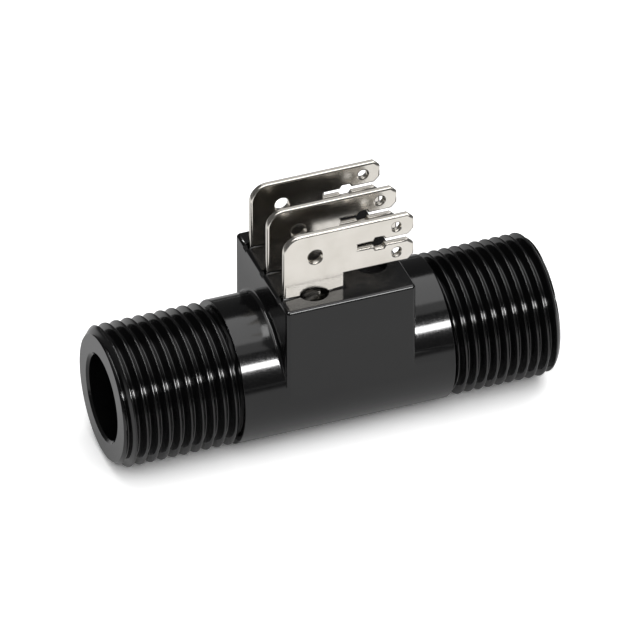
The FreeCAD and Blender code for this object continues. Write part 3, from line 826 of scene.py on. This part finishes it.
def addFloor(form):
    bm = bmesh.new()
    bmesh.ops.create_circle(bm, cap_ends=True, segments=form["floorSegments"],
                            radius=form["floorRadius"])
    finish, tree, shader = newFinish("paleFloor")
    tree.nodes.remove(shader)
    coords = tree.nodes.new("ShaderNodeTexCoord").outputs["Object"]
    rays = tree.nodes.new("ShaderNodeLightPath")
    reach = tree.nodes.new("ShaderNodeVectorMath")
    reach.operation = "LENGTH"
    tree.links.new(coords, reach.inputs[0])
    # for the object's light and gloss, with painted shade: darker behind it and further out, and
    # less dark left of the box
    lit = tree.nodes.new("ShaderNodeBsdfDiffuse")
    parts = tree.nodes.new("ShaderNodeSeparateXYZ")
    tree.links.new(coords, parts.inputs["Vector"])
    back = spanOf(tree, parts.outputs["X"], form["floorSide"], form["floorShadeLeft"], form["floorShadeBehind"])
    near = spanOf(tree, parts.outputs["Y"], form["floorTurn"], form["floorFront"])
    tree.links.new(back.outputs["Result"], near.inputs["To Max"])
    # painted shade: the floor's gloss darkens further out
    paintedShadeTone = spanOf(tree, reach.outputs["Value"], form["floorReach"], high=form["floorShadeFar"])
    tree.links.new(near.outputs["Result"], paintedShadeTone.inputs["To Min"])
    tree.links.new(paintedShadeTone.outputs["Result"], lit.inputs["Color"])
    # for the eye, with the object's shadow and plain white further out
    shaded = tree.nodes.new("ShaderNodeBsdfDiffuse")
    shaded.inputs["Color"].default_value = (*form["floorSeen"], 1)
    away = spanOf(tree, reach.outputs["Value"], form["floorFade"])
    seen = mixOf(tree, away.outputs["Result"], shaded, tree.nodes.new("ShaderNodeEmission"))
    floor = mixOf(tree, rays.outputs["Is Camera Ray"], lit, seen)
    tree.links.new(floor.outputs[0], tree.nodes["Material Output"].inputs["Surface"])
    addStagePiece("paleFloor", bm, finish)


def addDarkCard(form):
    # a dark screen all round, open above, seen only in the gloss of the object
    bm = bmesh.new()
    radius, rows = form["cardRadius"], form["cardRows"]
    low, high = form["cardLow"], form["cardHigh"]
    heights = [low + (high - low) * i / rows for i in range(rows + 1)]
    line = [bm.verts.new((0, -radius * cos(h), axisHeight + radius * sin(h))) for h in heights]
    geom = line + [bm.edges.new(pair) for pair in zip(line, line[1:])]
    bmesh.ops.spin(bm, geom=geom, cent=(0, 0, 0), axis=(0, 0, 1), angle=2 * pi,
                   steps=form["cardColumns"], use_merge=True)
    finish, tree, shader = newFinish("darkCard")
    shader.inputs["Base Color"].default_value = (0, 0, 0, 1)
    shader.inputs["Specular IOR Level"].default_value = 0.0
    shader.inputs["Emission Color"].default_value = (1, 1, 1, 1)
    shader.inputs["Emission Strength"].default_value = form["cardGlow"]
    card = addStagePiece("darkCard", bm, finish)
    card.visible_camera = False
    card.visible_diffuse = False
    card.visible_shadow = False


def addLamp(name, form):
    direction = Vector(form["direction"]).normalized()
    data = bpy.data.lights.new(name, "AREA")
    data.shape = "RECTANGLE"
    data.size, data.size_y = form["size"]
    data.energy = form["power"]
    lamp = bpy.data.objects.new(name, data)
    scene.collection.objects.link(lamp)
    lamp.location = Vector((0, 0, axisHeight)) + direction * form["distance"]
    lamp.rotation_mode = "QUATERNION"
    lamp.rotation_quaternion = (-direction).to_track_quat("-Z", "Y")
    lamp.visible_camera = False
    lamp.visible_diffuse = form["diffuse"]
    lamp.visible_glossy = form["glossy"]
    if "lights" in form:
        lit = bpy.data.collections.new(name + "Pieces")
        for piece in form["lights"]:
            lit.objects.link(bpy.data.objects[piece])
        lamp.light_linking.receiver_collection = lit


def addWorld(form):
    # white to the eye, in gloss and through clear things, and a plain fill for everything else
    world = bpy.data.worlds.new("paleStudio")
    world.use_nodes = True
    tree = world.node_tree
    fill = tree.nodes["Background"]
    fill.inputs["Color"].default_value = (1, 1, 1, 1)
    fill.inputs["Strength"].default_value = form["worldLight"]
    white = tree.nodes.new("ShaderNodeBackground")
    white.inputs["Color"].default_value = (1, 1, 1, 1)
    rays = tree.nodes.new("ShaderNodeLightPath")
    seen = rays.outputs["Is Camera Ray"]
    for kind in ("Is Glossy Ray", "Is Transmission Ray"):
        either = tree.nodes.new("ShaderNodeMath")
        either.operation = "MAXIMUM"
        tree.links.new(seen, either.inputs[0])
        tree.links.new(rays.outputs[kind], either.inputs[1])
        seen = either.outputs[0]
    choose = mixOf(tree, seen, fill, white)
    tree.links.new(choose.outputs[0], tree.nodes["World Output"].inputs["Surface"])
    scene.world = world


addFloor(stageForm)
addDarkCard(stageForm)
for lampName, lampForm in lampForms.items():
    addLamp(lampName, lampForm)
addWorld(stageForm)
print("stage set")
